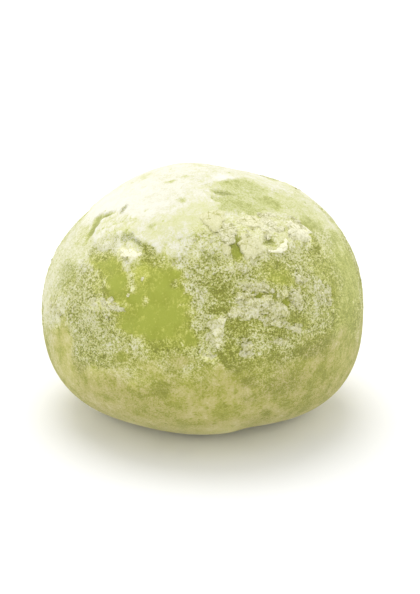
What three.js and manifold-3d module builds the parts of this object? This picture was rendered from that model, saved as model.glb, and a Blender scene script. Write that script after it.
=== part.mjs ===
// A daifuku: one soft ball of green rice dough round a sweet filling, closed underneath, set down on its
// seam and dusted with starch. It is whole and uncut, so it is one solid. The starch lies on the dough as
// a smooth cap over the crown, as thin ragged crusts further down, and as crumbs stuck to both.
//
// Millimetres, +Z up. The origin is on the flat spot that the cake rests on, right under the middle of the
// box round the cake. The front is -Y.
//
// Places on the skin are given as [azimuth, elevation] in degrees, seen from the heart of the ball:
// azimuth 0 faces the front and grows towards +X, and elevation is 0 at the waist and 90 at the crown.

import * as THREE from "three";
import { mergeVertices } from "three/addons/utils/BufferGeometryUtils.js";
import Module from "manifold-3d";

// Driving dimensions
const WIDTH = 52;
const DEPTH = 50;
const HEIGHT = 40;

// The ball: a rounded body, drawn out to WIDTH and DEPTH at its waist. A fullness of 2 is an ellipse, and
// more is squarer. The underside would reach UNDERSIDE_DEPTH below the waist if it weren't set down flat.
const WAIST_HEIGHT = 17.2;
const UNDERSIDE_DEPTH = 18.5;
const CROWN_FULLNESS = 2.0;
const UNDERSIDE_FULLNESS = 2.6;
const SUBDIVISIONS = 16;

// Broad swellings (height above 0) and slack places (below 0) left by the hands that shaped the dough
const SWELLINGS = [
  { at: [-65, 38], spread: 12, height: -1.2 },
  { at: [-112, 44], spread: 9, height: -0.6 },
  { at: [143, 64], spread: 7, height: -0.6 },
  { at: [122, 60], spread: 5, height: -0.6 },
  { at: [45, 58], spread: 10, height: -0.8 },
  { at: [80, 28], spread: 9, height: 0.5 },
  { at: [84, -38], spread: 11, height: 1.0 },
  { at: [-85, -42], spread: 11, height: 0.5 },
  { at: [-38, -48], spread: 8, height: -0.5 },
  { at: [34, -58], spread: 7, height: -0.5 },
  { at: [6, 26], spread: 3.5, height: -0.5 },
  { at: [-18, 20], spread: 6, height: -0.35 },
  { at: [150, 25], spread: 11, height: 0.6 },
  { at: [-160, 35], spread: 9, height: -0.7 },
  { at: [175, -20], spread: 9, height: -0.5 },
];

// The pinched seam underneath pulls the dough in beside one pleat, which shows low on the front
const PLEAT = { azimuth: 17, elevation: -42, turn: 4, reach: 20, depth: 0.55 };

// Starch crusts: flat-topped patches with ragged edges. Width runs along the waist and height up the skin.
const CRUST_FADE = 0.16;
const CRUST_RAGGEDNESS = 0.2;

// The coarse and the fine pair of crossed waves that fray the crusts' edges: each runs along its own line,
// and the longer the line, the shorter the wave
const FRAYING_WAVES = [
  [new THREE.Vector3(13, 0, 17), new THREE.Vector3(0, 19, -11)],
  [new THREE.Vector3(31, 0, 4), new THREE.Vector3(1, 29, 0)],
];

const CRUSTS = [
  { at: [-35, 64], width: 26, height: 19, thickness: 0.35 },
  { at: [-100, 66], width: 24, height: 18, thickness: 0.3 },
  { at: [-19, 45], width: 13, height: 5.2, thickness: 0.35 },
  { at: [-55, 44], width: 7, height: 4.6, thickness: 0.35 },
  { at: [-35, 39], width: 5, height: 2.4, thickness: 0.45 },
  { at: [32, 43], width: 8.2, height: 7.2, thickness: 0.45 },
  { at: [58, 44], width: 4, height: 5.2, thickness: 0.45 },
  { at: [15, 48], width: 3, height: 3, thickness: 0.45 },
  { at: [22, 20], width: 6.4, height: 5, thickness: 0.4 },
  { at: [28, 14], width: 5.2, height: 2.4, thickness: 0.35 },
  { at: [5, 12], width: 2.8, height: 4.6, thickness: 0.45 },
  { at: [-40, 17], width: 7, height: 2, thickness: 0.3 },
  { at: [-64, 8], width: 6, height: 3, thickness: 0.25 },
  { at: [138, 42], width: 14, height: 9, thickness: 0.4 },
  { at: [150, 8], width: 13, height: 8, thickness: 0.4 },
  { at: [-168, 40], width: 16, height: 9, thickness: 0.4 },
  { at: [-125, 20], width: 14, height: 11, thickness: 0.4 },
];

// Starch crumbs: where they lie, how many, and their smallest and largest diameter
const CRUMB_FIELDS = [
  { at: [22, 19], width: 6.4, height: 3.6, count: 12, size: [1.0, 2.0] },
  { at: [22, 24], width: 5, height: 3, count: 7, size: [0.9, 1.6] },
  { at: [13, 18], width: 2.2, height: 2.2, count: 3, size: [1.0, 1.6] },
  { at: [28, 14], width: 5.2, height: 2.2, count: 6, size: [0.9, 1.6] },
  { at: [35, 9], width: 3.4, height: 1.2, count: 4, size: [0.9, 1.3] },
  { at: [5, 12], width: 2.2, height: 4.4, count: 8, size: [1.0, 1.8] },
  { at: [2, 3], width: 2.2, height: 1.4, count: 2, size: [0.9, 1.3] },
  { at: [16, 4], width: 1.6, height: 2.6, count: 4, size: [0.9, 1.4] },
  { at: [38, 20], width: 2.4, height: 2.4, count: 5, size: [1.0, 1.7] },
  { at: [32, 21], width: 1.6, height: 1.2, count: 2, size: [0.9, 1.4] },
  { at: [44, 25], width: 2, height: 1.2, count: 2, size: [0.9, 1.4] },
  { at: [52, 16], width: 2.2, height: 2.4, count: 3, size: [0.9, 1.4] },
  { at: [32, 43], width: 7, height: 6, count: 7, size: [0.9, 1.5] },
  { at: [15, 48], width: 2.6, height: 2.4, count: 4, size: [1.0, 1.6] },
  { at: [58, 43], width: 4, height: 4, count: 4, size: [0.9, 1.5] },
  { at: [18, 34], width: 4, height: 2.2, count: 3, size: [0.8, 1.2] },
  { at: [-38, 17], width: 7, height: 2, count: 5, size: [0.8, 1.3] },
  { at: [-64, 8], width: 5, height: 3, count: 4, size: [0.8, 1.3] },
  { at: [-50, 12], width: 12, height: 8, count: 4, size: [0.8, 1.2] },
  { at: [-28, 26], width: 4, height: 4, count: 2, size: [0.8, 1.2] },
  { at: [128, 28], width: 18, height: 12, count: 9, size: [0.9, 1.8] },
  { at: [160, 12], width: 18, height: 12, count: 10, size: [0.9, 1.9] },
  { at: [-125, 18], width: 18, height: 13, count: 10, size: [0.9, 1.9] },
];
const CRUMB_FLATNESS = 0.7;
const CRUMB_SINK = 0.4;
const CRUMB_UNEVENNESS = 0.25;
const CRUMB_SEED = 11;

const DOUGH_COLOUR = "#c3c585";

const radians = THREE.MathUtils.degToRad;
const HEART = new THREE.Vector3(0, 0, WAIST_HEIGHT);

// Random numbers from 0 to 1 that are the same on every run (the mulberry32 generator)
function seededRandom(seed) {
  let state = seed;
  return () => {
    state = (state + 0x6d2b79f5) | 0;
    let mixed = Math.imul(state ^ (state >>> 15), 1 | state);
    mixed = (mixed + Math.imul(mixed ^ (mixed >>> 7), 61 | mixed)) ^ mixed;
    return ((mixed ^ (mixed >>> 14)) >>> 0) / 2 ** 32;
  };
}

// The unit vector from the heart of the ball to a place on the skin
function towards([azimuth, elevation]) {
  const level = Math.cos(radians(elevation));
  return new THREE.Vector3(
    level * Math.sin(radians(azimuth)),
    -level * Math.cos(radians(azimuth)),
    Math.sin(radians(elevation)),
  );
}

// The unit vectors along the waist and up the skin at a place
function alongAndUp([azimuth, elevation]) {
  const along = towards([azimuth + 90, 0]);
  const up = towards([azimuth, elevation + 90]);
  return { along, up };
}

// A smooth hump of height 1 at its middle, which fades out over its spread
function hump(distance, spread) {
  return Math.exp(-((distance / spread) ** 2));
}

// How far the plain ball reaches from its heart in a direction
function ballReach(direction) {
  const above = direction.z > 0;
  const fullness = above ? CROWN_FULLNESS : UNDERSIDE_FULLNESS;
  const rise = above ? HEIGHT - WAIST_HEIGHT : UNDERSIDE_DEPTH;
  const across = Math.hypot(direction.x / (WIDTH / 2), direction.y / (DEPTH / 2));
  const upright = Math.abs(direction.z) / rise;
  return (across ** fullness + upright ** fullness) ** (-1 / fullness);
}

// How far the dough is drawn in on the far side of the pleat
function pleatDepth(direction, reach) {
  const azimuth = THREE.MathUtils.radToDeg(Math.atan2(direction.x, -direction.y));
  const past = THREE.MathUtils.smoothstep(azimuth, PLEAT.azimuth, PLEAT.azimuth + PLEAT.turn);
  const distance = reach * direction.angleTo(towards([PLEAT.azimuth, PLEAT.elevation]));
  return PLEAT.depth * past * hump(distance, PLEAT.reach / 2);
}

function doughReach(direction) {
  const plain = ballReach(direction);
  const shaped = SWELLINGS.reduce((reach, swelling) => {
    const distance = plain * direction.angleTo(towards(swelling.at));
    return reach + swelling.height * hump(distance, swelling.spread);
  }, plain);
  return shaped - pleatDepth(direction, shaped);
}

// A pattern from -1 to 1 of crossed waves, which frays the edges of the crusts
function fraying(direction) {
  const height = (wave) => Math.sin(direction.dot(wave));
  const [coarse, fine] = FRAYING_WAVES.map(([first, second]) => height(first) * height(second));
  return (coarse + fine) / 2;
}

// The thickest crust over a point of the skin
function crustThickness(direction, reach) {
  const frayed = CRUST_RAGGEDNESS * fraying(direction);
  const thicknesses = CRUSTS.map((crust) => {
    const { along, up } = alongAndUp(crust.at);
    if (direction.dot(towards(crust.at)) < 0) {
      return 0;
    }
    const sideways = (reach * direction.dot(along)) / (crust.width / 2);
    const upwards = (reach * direction.dot(up)) / (crust.height / 2);
    const outward = Math.hypot(sideways, upwards) + frayed;
    const inside = 1 - THREE.MathUtils.smoothstep(outward, 1 - CRUST_FADE, 1 + CRUST_FADE);
    return crust.thickness * inside;
  });
  return Math.max(...thicknesses);
}

// The point of the skin in a direction from the heart, crusts included and never below the base
function skinPoint(direction) {
  const reach = doughReach(direction);
  const full = reach + crustThickness(direction, reach);
  const point = direction.clone().multiplyScalar(full).add(HEART);
  point.z = Math.max(0, point.z);
  return point;
}

// A ball of even small triangles that share their corners
function evenBall(radius, subdivisions) {
  const sphere = new THREE.IcosahedronGeometry(radius, subdivisions);
  sphere.deleteAttribute("normal");
  sphere.deleteAttribute("uv");
  return mergeVertices(sphere, 1e-4);
}

// Moves every corner of a geometry to where a function says
function reshape(geometry, placeOf) {
  const place = geometry.getAttribute("position");
  for (let i = 0; i < place.count; i++) {
    const point = placeOf(new THREE.Vector3().fromBufferAttribute(place, i));
    place.setXYZ(i, point.x, point.y, point.z);
  }
  return geometry;
}

function doughGeometry() {
  return reshape(evenBall(1, SUBDIVISIONS), (corner) => skinPoint(corner.normalize()));
}

// One crumb: an uneven lump, flattened against the skin and sunk a little into it
function crumbGeometry(direction, diameter, random) {
  const uneven = () => 1 + CRUMB_UNEVENNESS * (2 * random() - 1);
  const lump = reshape(evenBall(diameter / 2, 0), (corner) => corner.multiplyScalar(uneven()));
  const turned = new THREE.Quaternion().setFromUnitVectors(new THREE.Vector3(0, 0, 1), direction);
  const rise = (0.5 - CRUMB_SINK) * diameter * CRUMB_FLATNESS;
  const place = skinPoint(direction).addScaledVector(direction, rise);
  lump.rotateZ(2 * Math.PI * random());
  lump.scale(1, 1, CRUMB_FLATNESS);
  lump.applyQuaternion(turned);
  lump.translate(place.x, place.y, place.z);
  return lump;
}

// All crumbs, drawn at random inside each field and smaller ones more often
function crumbGeometries() {
  const random = seededRandom(CRUMB_SEED);
  return CRUMB_FIELDS.flatMap(({ at, width, height, count, size: [smallest, largest] }) => {
    const { along, up } = alongAndUp(at);
    return Array.from({ length: count }, () => {
      const turn = 2 * Math.PI * random();
      const outward = Math.sqrt(random());
      const middle = towards(at);
      const reach = ballReach(middle);
      const direction = middle
        .addScaledVector(along, (outward * Math.cos(turn) * width) / 2 / reach)
        .addScaledVector(up, (outward * Math.sin(turn) * height) / 2 / reach)
        .normalize();
      const diameter = smallest + (largest - smallest) * random() ** 2;
      return crumbGeometry(direction, diameter, random);
    });
  });
}

// Joins closed geometries into one solid
async function fuse(geometries) {
  const wasm = await Module();
  wasm.setup();
  const solids = geometries.map(
    (geometry) =>
      new wasm.Manifold(
        new wasm.Mesh({
          numProp: 3,
          vertProperties: Float32Array.from(geometry.getAttribute("position").array),
          triVerts: Uint32Array.from(geometry.index.array),
        }),
      ),
  );
  const { vertProperties, triVerts } = solids.reduce((whole, solid) => whole.add(solid)).getMesh();
  const fused = new THREE.BufferGeometry();
  fused.setAttribute("position", new THREE.BufferAttribute(vertProperties, 3));
  fused.setIndex(new THREE.BufferAttribute(triVerts, 1));
  fused.computeVertexNormals();
  return fused;
}

// Moves a geometry sideways until the middle of the box round it is over the origin
function centred(geometry) {
  geometry.computeBoundingBox();
  const middle = geometry.boundingBox.getCenter(new THREE.Vector3());
  return geometry.translate(-middle.x, -middle.y, 0);
}

const cake = centred(await fuse([doughGeometry(), ...crumbGeometries()]));
const dough = new THREE.MeshStandardMaterial({ color: DOUGH_COLOUR, roughness: 0.85, metalness: 0 });
const mochi = new THREE.Mesh(cake, dough);
mochi.name = "mochi";

const part = new THREE.Group();
part.add(mochi);

export default part;
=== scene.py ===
"""The looks of a daifuku: a ball of green rice dough under a patchy coat of dry starch.

Lengths are in metres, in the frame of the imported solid, and MM is one millimetre. A place on the skin is
(azimuth, elevation) in degrees, seen from the heart of the ball: azimuth 0 faces the front (-Y) and grows
towards +X, and elevation is 0 at the waist and 90 at the crown.
"""

import math
from dataclasses import dataclass
from functools import reduce

import bmesh
import bpy
import numpy as np
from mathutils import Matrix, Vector, noise
from mathutils.bvhtree import BVHTree


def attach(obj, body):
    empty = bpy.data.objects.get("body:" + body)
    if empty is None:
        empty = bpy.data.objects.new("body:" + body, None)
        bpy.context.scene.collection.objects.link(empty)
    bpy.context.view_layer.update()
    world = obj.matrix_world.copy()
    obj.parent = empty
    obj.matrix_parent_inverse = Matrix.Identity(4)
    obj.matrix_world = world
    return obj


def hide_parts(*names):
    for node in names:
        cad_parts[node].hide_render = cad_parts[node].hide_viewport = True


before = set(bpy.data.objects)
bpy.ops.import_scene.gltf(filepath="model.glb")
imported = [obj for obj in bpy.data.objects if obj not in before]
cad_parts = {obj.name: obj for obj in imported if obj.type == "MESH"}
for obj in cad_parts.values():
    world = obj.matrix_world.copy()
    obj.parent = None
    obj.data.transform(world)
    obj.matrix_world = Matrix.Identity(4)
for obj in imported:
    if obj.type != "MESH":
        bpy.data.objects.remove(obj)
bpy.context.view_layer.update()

MM = 0.001
BODY = "root"
CAKE = "mochi"

# The heart of the ball, which every place on the skin is seen from, and how far the skin is from it
HEART = np.array([0, 0, 17.2 * MM])
MEAN_REACH = 24.5 * MM

# The skin's mesh: cells along each edge of the cube that is blown up into the ball, and how much closer
# together they lie at the front (0 is not at all, and 1 all of them in one point)
SKIN_CELLS = 127
FRONT_CROWDING = 0.3
CROWDED_AT = (0, 30)

# A crumb of the solid rises at least so far over the form that is left after so many rounds of smoothing.
# The skin without crumbs is smoothed in fewer rounds
CRUMB_SEARCH_ROUNDS = 120
CRUMB_MIN_RISE = 0.12 * MM
SKIN_SMOOTHING_ROUNDS = 50


# Places on the skin


def towards(azimuth, elevation):
    """The unit vector from the heart to a place on the skin."""
    turn, lift = math.radians(azimuth), math.radians(elevation)
    level = math.cos(lift)
    return np.array([level * math.sin(turn), -level * math.cos(turn), math.sin(lift)])


def along_and_up(azimuth, elevation, tilt):
    """Two unit vectors that lie on the skin at a place: along the waist and up, turned by the tilt."""
    along = towards(azimuth + 90, 0)
    up = towards(azimuth, elevation + 90)
    turn = math.radians(tilt)
    turned_along = math.cos(turn) * along + math.sin(turn) * up
    turned_up = math.cos(turn) * up - math.sin(turn) * along
    return turned_along, turned_up


def smoothstep(low, high, values):
    share = np.clip((values - low) / (high - low), 0, 1)
    return share * share * (3 - 2 * share)


def pattern(points, wavelength, seed, kind="BLENDER"):
    """Seeded noise from about -1 to 1 at points in metres, with bumps a wavelength apart."""
    shifted = points / wavelength + seed * np.array([3.7, -5.1, 2.3])
    return np.array([noise.noise(point, noise_basis=kind) for point in shifted.tolist()])


def lumpy(points, width, seed):
    """Rounded lumps of a width, from about 0.5 on a lump to -0.5 in the gaps between them."""
    return -0.5 * pattern(points, width, seed, "VORONOI_F1")


# The skin's form


class Skin:
    """A finely meshed ball whose points lie on the solid, with its crumbs taken off."""

    def __init__(self, solid):
        self.mesh = crowded_ball(SKIN_CELLS)
        self.directions = read_points(self.mesh)
        self.edges = np.array([edge.vertices[:] for edge in self.mesh.edges])
        tree = BVHTree.FromObject(solid, bpy.context.evaluated_depsgraph_get())
        self.found = cast(tree, self.directions)
        plain = self.smoothed(self.found, CRUMB_SEARCH_ROUNDS)
        self.crumb_rise = self.found - plain
        self.reach = self.without_crumbs(plain)

    def smoothed(self, values, rounds):
        first, second = self.edges.T
        count = len(self.directions)
        neighbours = np.bincount(self.edges.ravel(), minlength=count)
        for _ in range(rounds):
            total = np.bincount(first, values[second], count) + np.bincount(second, values[first], count)
            values = (values + total / neighbours) / 2
        return values

    def without_crumbs(self, plain):
        kept = np.where(self.crumb_rise > CRUMB_MIN_RISE, plain, self.found)
        kept = np.minimum(kept, self.smoothed(kept, CRUMB_SEARCH_ROUNDS) + CRUMB_MIN_RISE)
        return self.smoothed(kept, SKIN_SMOOTHING_ROUNDS)

    def points(self):
        placed = HEART + self.directions * self.reach[:, None]
        placed[:, 2] = np.maximum(placed[:, 2], 0)
        return placed


def crowded_ball(cells):
    """A ball of radius 1 whose cells come out nearly even, but smaller towards the front."""
    grid = bmesh.new()
    bmesh.ops.create_cube(grid, size=2)
    bmesh.ops.subdivide_edges(grid, edges=grid.edges[:], cuts=cells - 1, use_grid_fill=True)
    centre = Vector(towards(*CROWDED_AT))
    for vert in grid.verts:
        spread = Vector([math.tan(part * math.pi / 4) for part in vert.co]).normalized()
        ahead = spread.dot(centre)
        across = (spread - ahead * centre) * math.sqrt(1 - FRONT_CROWDING**2)
        vert.co = (across + (ahead + FRONT_CROWDING) * centre) / (1 + FRONT_CROWDING * ahead)
    mesh = bpy.data.meshes.new("mochi_skin")
    grid.to_mesh(mesh)
    grid.free()
    return mesh


def read_points(mesh):
    points = np.empty(len(mesh.vertices) * 3)
    mesh.vertices.foreach_get("co", points)
    return points.reshape(-1, 3)


def cast(tree, directions):
    """How far a tree's surface reaches from the heart in each direction."""
    heart = Vector(HEART)
    return np.array([tree.ray_cast(heart, Vector(direction))[3] for direction in directions.tolist()])


# The coat: where the starch lies, how mealy it is and how thick


@dataclass
class Patch:
    """An oval on the skin: its place, half sizes in millimetres and tilt, and what the coat is inside it.

    starch: 0 is bare dough and 1 hides it. grain: 0 is a smooth film and 1 is mealy. crumble: 0 is even and
    1 is broken up into crumbs. rise: the height of the coat in millimetres. crown: 1 has the crown's whiter
    colours. packed: 1 has the beige colours of starch that is pressed smooth. A value that is None stays as
    it was. fade: how soft the edge is, as a share.
    """

    at: tuple
    half: tuple
    tilt: float
    starch: float
    grain: float = None
    crumble: float = None
    rise: float = None
    crown: float = None
    packed: float = None
    fade: float = 0.5


KINDS = ("starch", "grain", "crumble", "rise", "crown", "packed")

# Broad zones, which the rest is painted over
ZONES = [
    Patch((-50, 9), (8.5, 6.2), 15, 0.78, 0.9, crumble=0.2, packed=0, fade=0.3),
    # These three whiten the coat towards the left rim: thick starch, made paler still as painted glow where
    # the edge fades to white
    Patch((-74, 31), (6.2, 7.2), 45, 0.84, 0.3, rise=0.1, crown=0.7),
    Patch((-84, 21), (3.5, 7.5), 30, 0.95, 0.25, crown=0.9, fade=0.6),
    Patch((-79, 12), (4, 8), 20, 0.98, 0.4, crown=0.6, fade=0.6),
    Patch((-62, -10), (4.5, 5.4), 24, 0.7, 0.2, packed=0.8),
    Patch((8, 23), (7.6, 7.6), 0, 0.62, 1, fade=0.3),
    Patch((39, 19), (8, 8.2), -13, 0.6, 0.95, fade=0.3),
    Patch((65, 14), (5, 7.6), -19, 0.22, 0.5, crown=0.2),
    Patch((72, 22), (3.4, 6), -24, 0.34, 0.3, crown=0.4, fade=0.6),
    Patch((60, 21), (2.6, 3.3), -19, 0.34, 0.6),
    Patch((79, 37), (4.6, 3.6), -12, 0.74, 0.25, crown=0.7, fade=0.6),
    Patch((71.5, 36.5), (1.2, 1.6), -30, 0.9, 0.4, crown=0.5, fade=0.6),
    Patch((55, -7), (6.2, 4.6), -28, 0.5, 0.2, packed=0.9, fade=0.4),
    Patch((46, -15), (4.3, 5.2), 20, 0.4, 0.2, packed=1),
]

# The smooth thick cap over the crown, with its ragged lower edge, its lobe and its crack, and painted shade
# on its lower part
CAP = [
    Patch((-38, 62), (12.4, 9.3), 6, 1, 0.05, rise=0.3, crown=1, fade=0.12),
    Patch((-100, 66), (12, 9), 0, 1.05, 0.1, rise=0.3, fade=0.2),
    Patch((66.9, 78.7), (3, 1.8), -38, 1.25, 0.05, crown=1, fade=0.6),
    Patch((-62.7, 54), (5.4, 8.4), 77, 1.15, 0.05, crown=1),
    Patch((-90, 45), (4.6, 3.6), 30, 1.25, 0.1, crown=1, fade=0.6),
    Patch((-20, 45.5), (6.6, 2.8), 14, 0.96, 0.15, crumble=0.1, rise=0.3, crown=1, fade=0.12),
    Patch((-6, 44.5), (2.2, 1.3), 32, 0.85, 0.5, crumble=0.3, rise=0.2, fade=0.3),
    Patch((-54, 45.5), (4, 2.5), 27, 1, 0.1, crumble=0.2, rise=0.3, crown=0.9, fade=0.2),
    # Painted shade: these three grey the lower cap with thinner starch
    Patch((-21, 49.5), (5.8, 3.2), 1, 0.84, 0.05, fade=0.8),
    Patch((-3.6, 57.7), (2.6, 3.4), 3, 0.74, 0.05, fade=0.7),
    Patch((-9, 46.5), (2.7, 1.8), 4, 0.86, 0.15, crown=1, fade=0.7),
    Patch((-37, 49), (2.6, 2.2), 13, 0.86, 0.05, fade=0.7),
    Patch((-71.9, 46.3), (1.9, 0.5), 48, -0.05, 0.3, rise=-0.15, fade=0.6),
    Patch((-75.5, 43), (0.9, 1.4), 26, -0.05, 0.3, rise=-0.15, fade=0.6),
    Patch((-71.8, 39.9), (0.9, 2), 14, 0, 0.4, rise=-0.1, fade=0.6),
    Patch((-61.6, 53.1), (0.5, 0.9), 23, 0.8, 1, fade=0.7),
    Patch((-20, 65.4), (0.7, 0.6), 10, 0.45, 0.3, fade=0.6),
    Patch((-52.4, 74.8), (0.4, 0.9), -25, 0.5, 0.3, fade=0.6),
    Patch((-168.8, 78.5), (1.2, 1.8), 6, 0.75, 0.1, fade=0.7),
    Patch((-106.2, 66), (1.8, 1.1), 20, 0.8, 0.1, fade=0.7),
    Patch((-45.1, 80.9), (1, 0.7), 34, 0.75, 0.2, fade=0.7),
    Patch((-30.5, 49.8), (0.6, 0.6), 11, 0.7, 0.3, fade=0.6),
    Patch((-41.7, 42.9), (1.2, 0.9), 14, 0.4, 1, rise=0.1),
    Patch((-41.7, 42.7), (0.5, 0.4), 14, 0.8, 0.6),
    Patch((-48.3, 40.2), (0.5, 0.9), 0, 0.5, 1, fade=0.7),
    Patch((-34.3, 42.2), (1.3, 0.35), -19, 0.5, 1, rise=0.1, fade=0.7),
    Patch((-25.9, 40.3), (1.5, 0.7), -20, 0.3, 1, rise=0, crown=0, fade=0.6),
    Patch((-55.7, 36.9), (0.6, 0.6), 18, 0.3, 1, fade=0.6),
    Patch((-59.1, 32.9), (0.8, 0.9), 19, 0.35, 1, crown=0.2, fade=0.6),
    Patch((-20.7, 37), (1.3, 0.7), 20, 0.45, 0.9, rise=0, crown=0, fade=0.6),
    Patch((-11, 37.6), (1.6, 0.8), 4, 0.8, 1, rise=0, crown=0, fade=0.6),
    Patch((-14.5, 41), (2.5, 1.1), 5, 0.95, 0.2, rise=0.25, crown=0.9, fade=0.4),
]

# The thin green veil right of the cap, down to the shoulder
VEIL = [
    Patch((45, 65), (5.4, 4.7), -33, 0.56, 0.25, rise=0, fade=0.3),
    Patch((25, 67), (2, 2.8), -25, 0.48, 0.3, rise=0, fade=0.3),
    Patch((75, 50), (4.8, 3.4), -90, 0.66, 0.25, rise=0, crown=0.9, fade=0.4),
    Patch((92, 45), (5, 2.6), -110, 0.82, 0.2, rise=0, crown=1),
    Patch((35, 61), (2.9, 1.9), -26, 0.22, 0.25),
    Patch((63, 57.5), (2.2, 1.7), -74, 0.22, 0.25),
    Patch((59, 74), (2.6, 1.4), -32, 0.25, 0.25),
    Patch((26, 60), (3, 1.2), -11, 0.4, 0.3),
    Patch((74, 69), (2.9, 2.6), -38, 0.4, 0.3, rise=0, fade=0.6),
    Patch((27, 71), (1.7, 0.6), -24, 0.05, 0.7, rise=-0.05, fade=0.7),
    Patch((70, 41), (1.9, 1.8), -67, 0.15, 0.35),
    Patch((75, 32), (1.5, 3.9), -89, 0.25, 0.35),
]

# Bare dough, and starch left on it
BARE = [
    Patch((-3.6, 23), (1.5, 4.8), 8, 1.02, 1),
    Patch((0.4, 15.3), (1.4, 1.5), 2, 0.95, 1, fade=0.6),
    Patch((-53, 36.6), (2.8, 1.2), 19, 1, 0.9, rise=0.1, crown=0.2, fade=0.6),
    Patch((-53.5, 38.8), (2.2, 0.9), 22, 1.1, 0.5, rise=0.15, crown=0.5, fade=0.6),
    Patch((-48.5, 30.9), (3.5, 1.7), 10, 0.08, 0.3, rise=0, crown=0),
    Patch((-49.5, 34), (2.3, 0.8), 24, 0.3, 0.7, rise=0, crown=0, fade=0.6),
    Patch((-36.8, 25.9), (2.6, 2.9), 13, 0, 0.15, rise=0, crown=0),
    Patch((-32.4, 21.1), (3.1, 1), 7, 0.05, 0.3, rise=0),
    Patch((-19.5, 30.4), (3.9, 3.4), 7, 0.14, 0.35, rise=0, crown=0),
    Patch((-24.7, 36.6), (2.4, 0.8), -10, 0.35, 0.7, rise=0, crown=0, fade=0.6),
    Patch((-36, 37.3), (2.3, 1), 5, 1.2, 0.3, rise=0.25, crown=0, fade=0.3),
    Patch((-11, 22.6), (2, 2.4), 3, 0.02, 0.2, rise=0),
    Patch((-27.1, 31.4), (1.3, 1.9), 10, 0.3, 0.2, fade=0.6),
    Patch((-18, 27), (2, 2.2), 10, 0, 0.12, fade=0.6),
    Patch((-25, 26.5), (0.8, 2.8), 19, 0.3, 0.3, fade=0.7),
    Patch((-11.6, 31.8), (0.9, 0.8), 4, -0.1, 0.1),
    Patch((-11.5, 28.3), (0.6, 0.7), 4, 0.5, 0.8),
    Patch((-15.6, 14.5), (5.2, 3.1), -2, -0.05, 0.15, rise=0),
    Patch((-22, 20), (3.6, 2), 10, 0, 0.15, rise=0),
    Patch((-26.5, 11), (1.7, 1.2), -14, 0, 0.25, rise=0),
    Patch((-5.7, 9.5), (1.8, 1.4), 2, 0.1, 0.35, rise=0),
    Patch((-13.2, 6.1), (3.4, 0.8), 10, 0.2, 0.5, fade=0.6),
    Patch((-46.9, 24), (0.9, 2), 42, 0.85, 0.7),
    Patch((-55, 25.6), (2.4, 1.6), 20, 0.92, 0.9),
    Patch((-37, 34.2), (1, 1.7), 30, 1.2, 0.7, rise=0.1, crown=0),
    Patch((-32.8, 30.2), (0.5, 1.6), 28, 0.8, 0.7, rise=0.05, fade=0.6),
    Patch((-29.6, 26.8), (0.4, 1.4), 14, 0.6, 0.7, fade=0.6),
    Patch((-28.6, 24.7), (0.35, 0.35), 10, 0.95, 0.4, rise=0.1),
    Patch((-22.6, 21.2), (0.6, 0.9), -1, 0.65, 0.6, fade=0.6),
    Patch((-36.7, 35.3), (0.45, 0.35), 13, 0.85, 1, crown=0, fade=0.6),
]

# The mealy left side
LEFT = [
    Patch((-47, 7.5), (3.2, 3.4), 16, 0.68, 1, fade=0.6),
    Patch((-42, 12.5), (3, 1.4), 17, 0.95, 0.9, crumble=0.2, rise=0.1, fade=0.6),
    Patch((-39, 16.2), (3.4, 0.9), 17, 1.1, 0.5, crumble=0.3, rise=0.2),
    Patch((-68, 6), (3.4, 2.2), 26, 1.1, 0.6, packed=0, crown=0.3, fade=0.6),
    Patch((-65, 9.5), (3.4, 1.8), 19, 1.2, 0.7, crumble=0.3, rise=0.1, crown=0.1),
    Patch((-68, 20), (2.2, 2.3), 20, 0.4, 0.7, fade=0.6),
    Patch((-33, 1.5), (2.4, 1.6), 5, 0.76, fade=0.6),
    Patch((-29.3, 0), (0.9, 0.8), 11, 0.1, 0.4, fade=0.4),
    Patch((-16.4, 2.6), (1.3, 0.8), 6, 0.2, 0.6),
    Patch((-43, -4), (3.4, 2.4), 15, 0.58, 0.9, fade=0.6),
]

# The crusts right of the middle: their ground under the plates, the green hollows in it, a painted shadow
# under the smooth plate, and the pit
CRUSTS = [
    Patch((33.4, 38.4), (3.8, 1.7), -16, 0.9, 0.8),
    Patch((20.6, 37.7), (1.5, 1), -20, 1, 0.6, crumble=0.3),
    Patch((49.3, 35), (2.3, 1.5), -27, 0.85, 0.9),
    Patch((65, 33), (2.8, 2.2), -4, 0.75, 0.6, fade=0.6),
    Patch((38, 46.8), (5.9, 3.6), -25, 0.95, 0.3, crumble=0.15, rise=0.3, crown=0.5, fade=0.3),
    Patch((9, 50), (3.6, 3), 10, 0.95, 0.3, crumble=0.15, rise=0.25, crown=0.5, fade=0.3),
    Patch((4, 46), (3.4, 1.6), 12, 0.95, 0.55, crumble=0.25, rise=0.15, crown=0.4, fade=0.3),
    Patch((60, 37.7), (1.3, 1.4), -55, 1.2, 0.3, crumble=0.1, rise=0.3, crown=0, fade=0.3),
    # Painted shadow: a strip of bare green under the smooth plate's lower edge, in a shallow groove
    Patch((8.7, 50.2), (0.8, 0.3), -30, 0.1, 0.4, rise=-0.1),
    Patch((34.3, 42.4), (1, 0.9), -25, 0.25, 0.7, crumble=0.2, rise=-0.1),
    Patch((17.9, 42.4), (1, 1.5), 0, 0.05, 0.25, crumble=0, rise=-0.3, fade=0.3),
]
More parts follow.
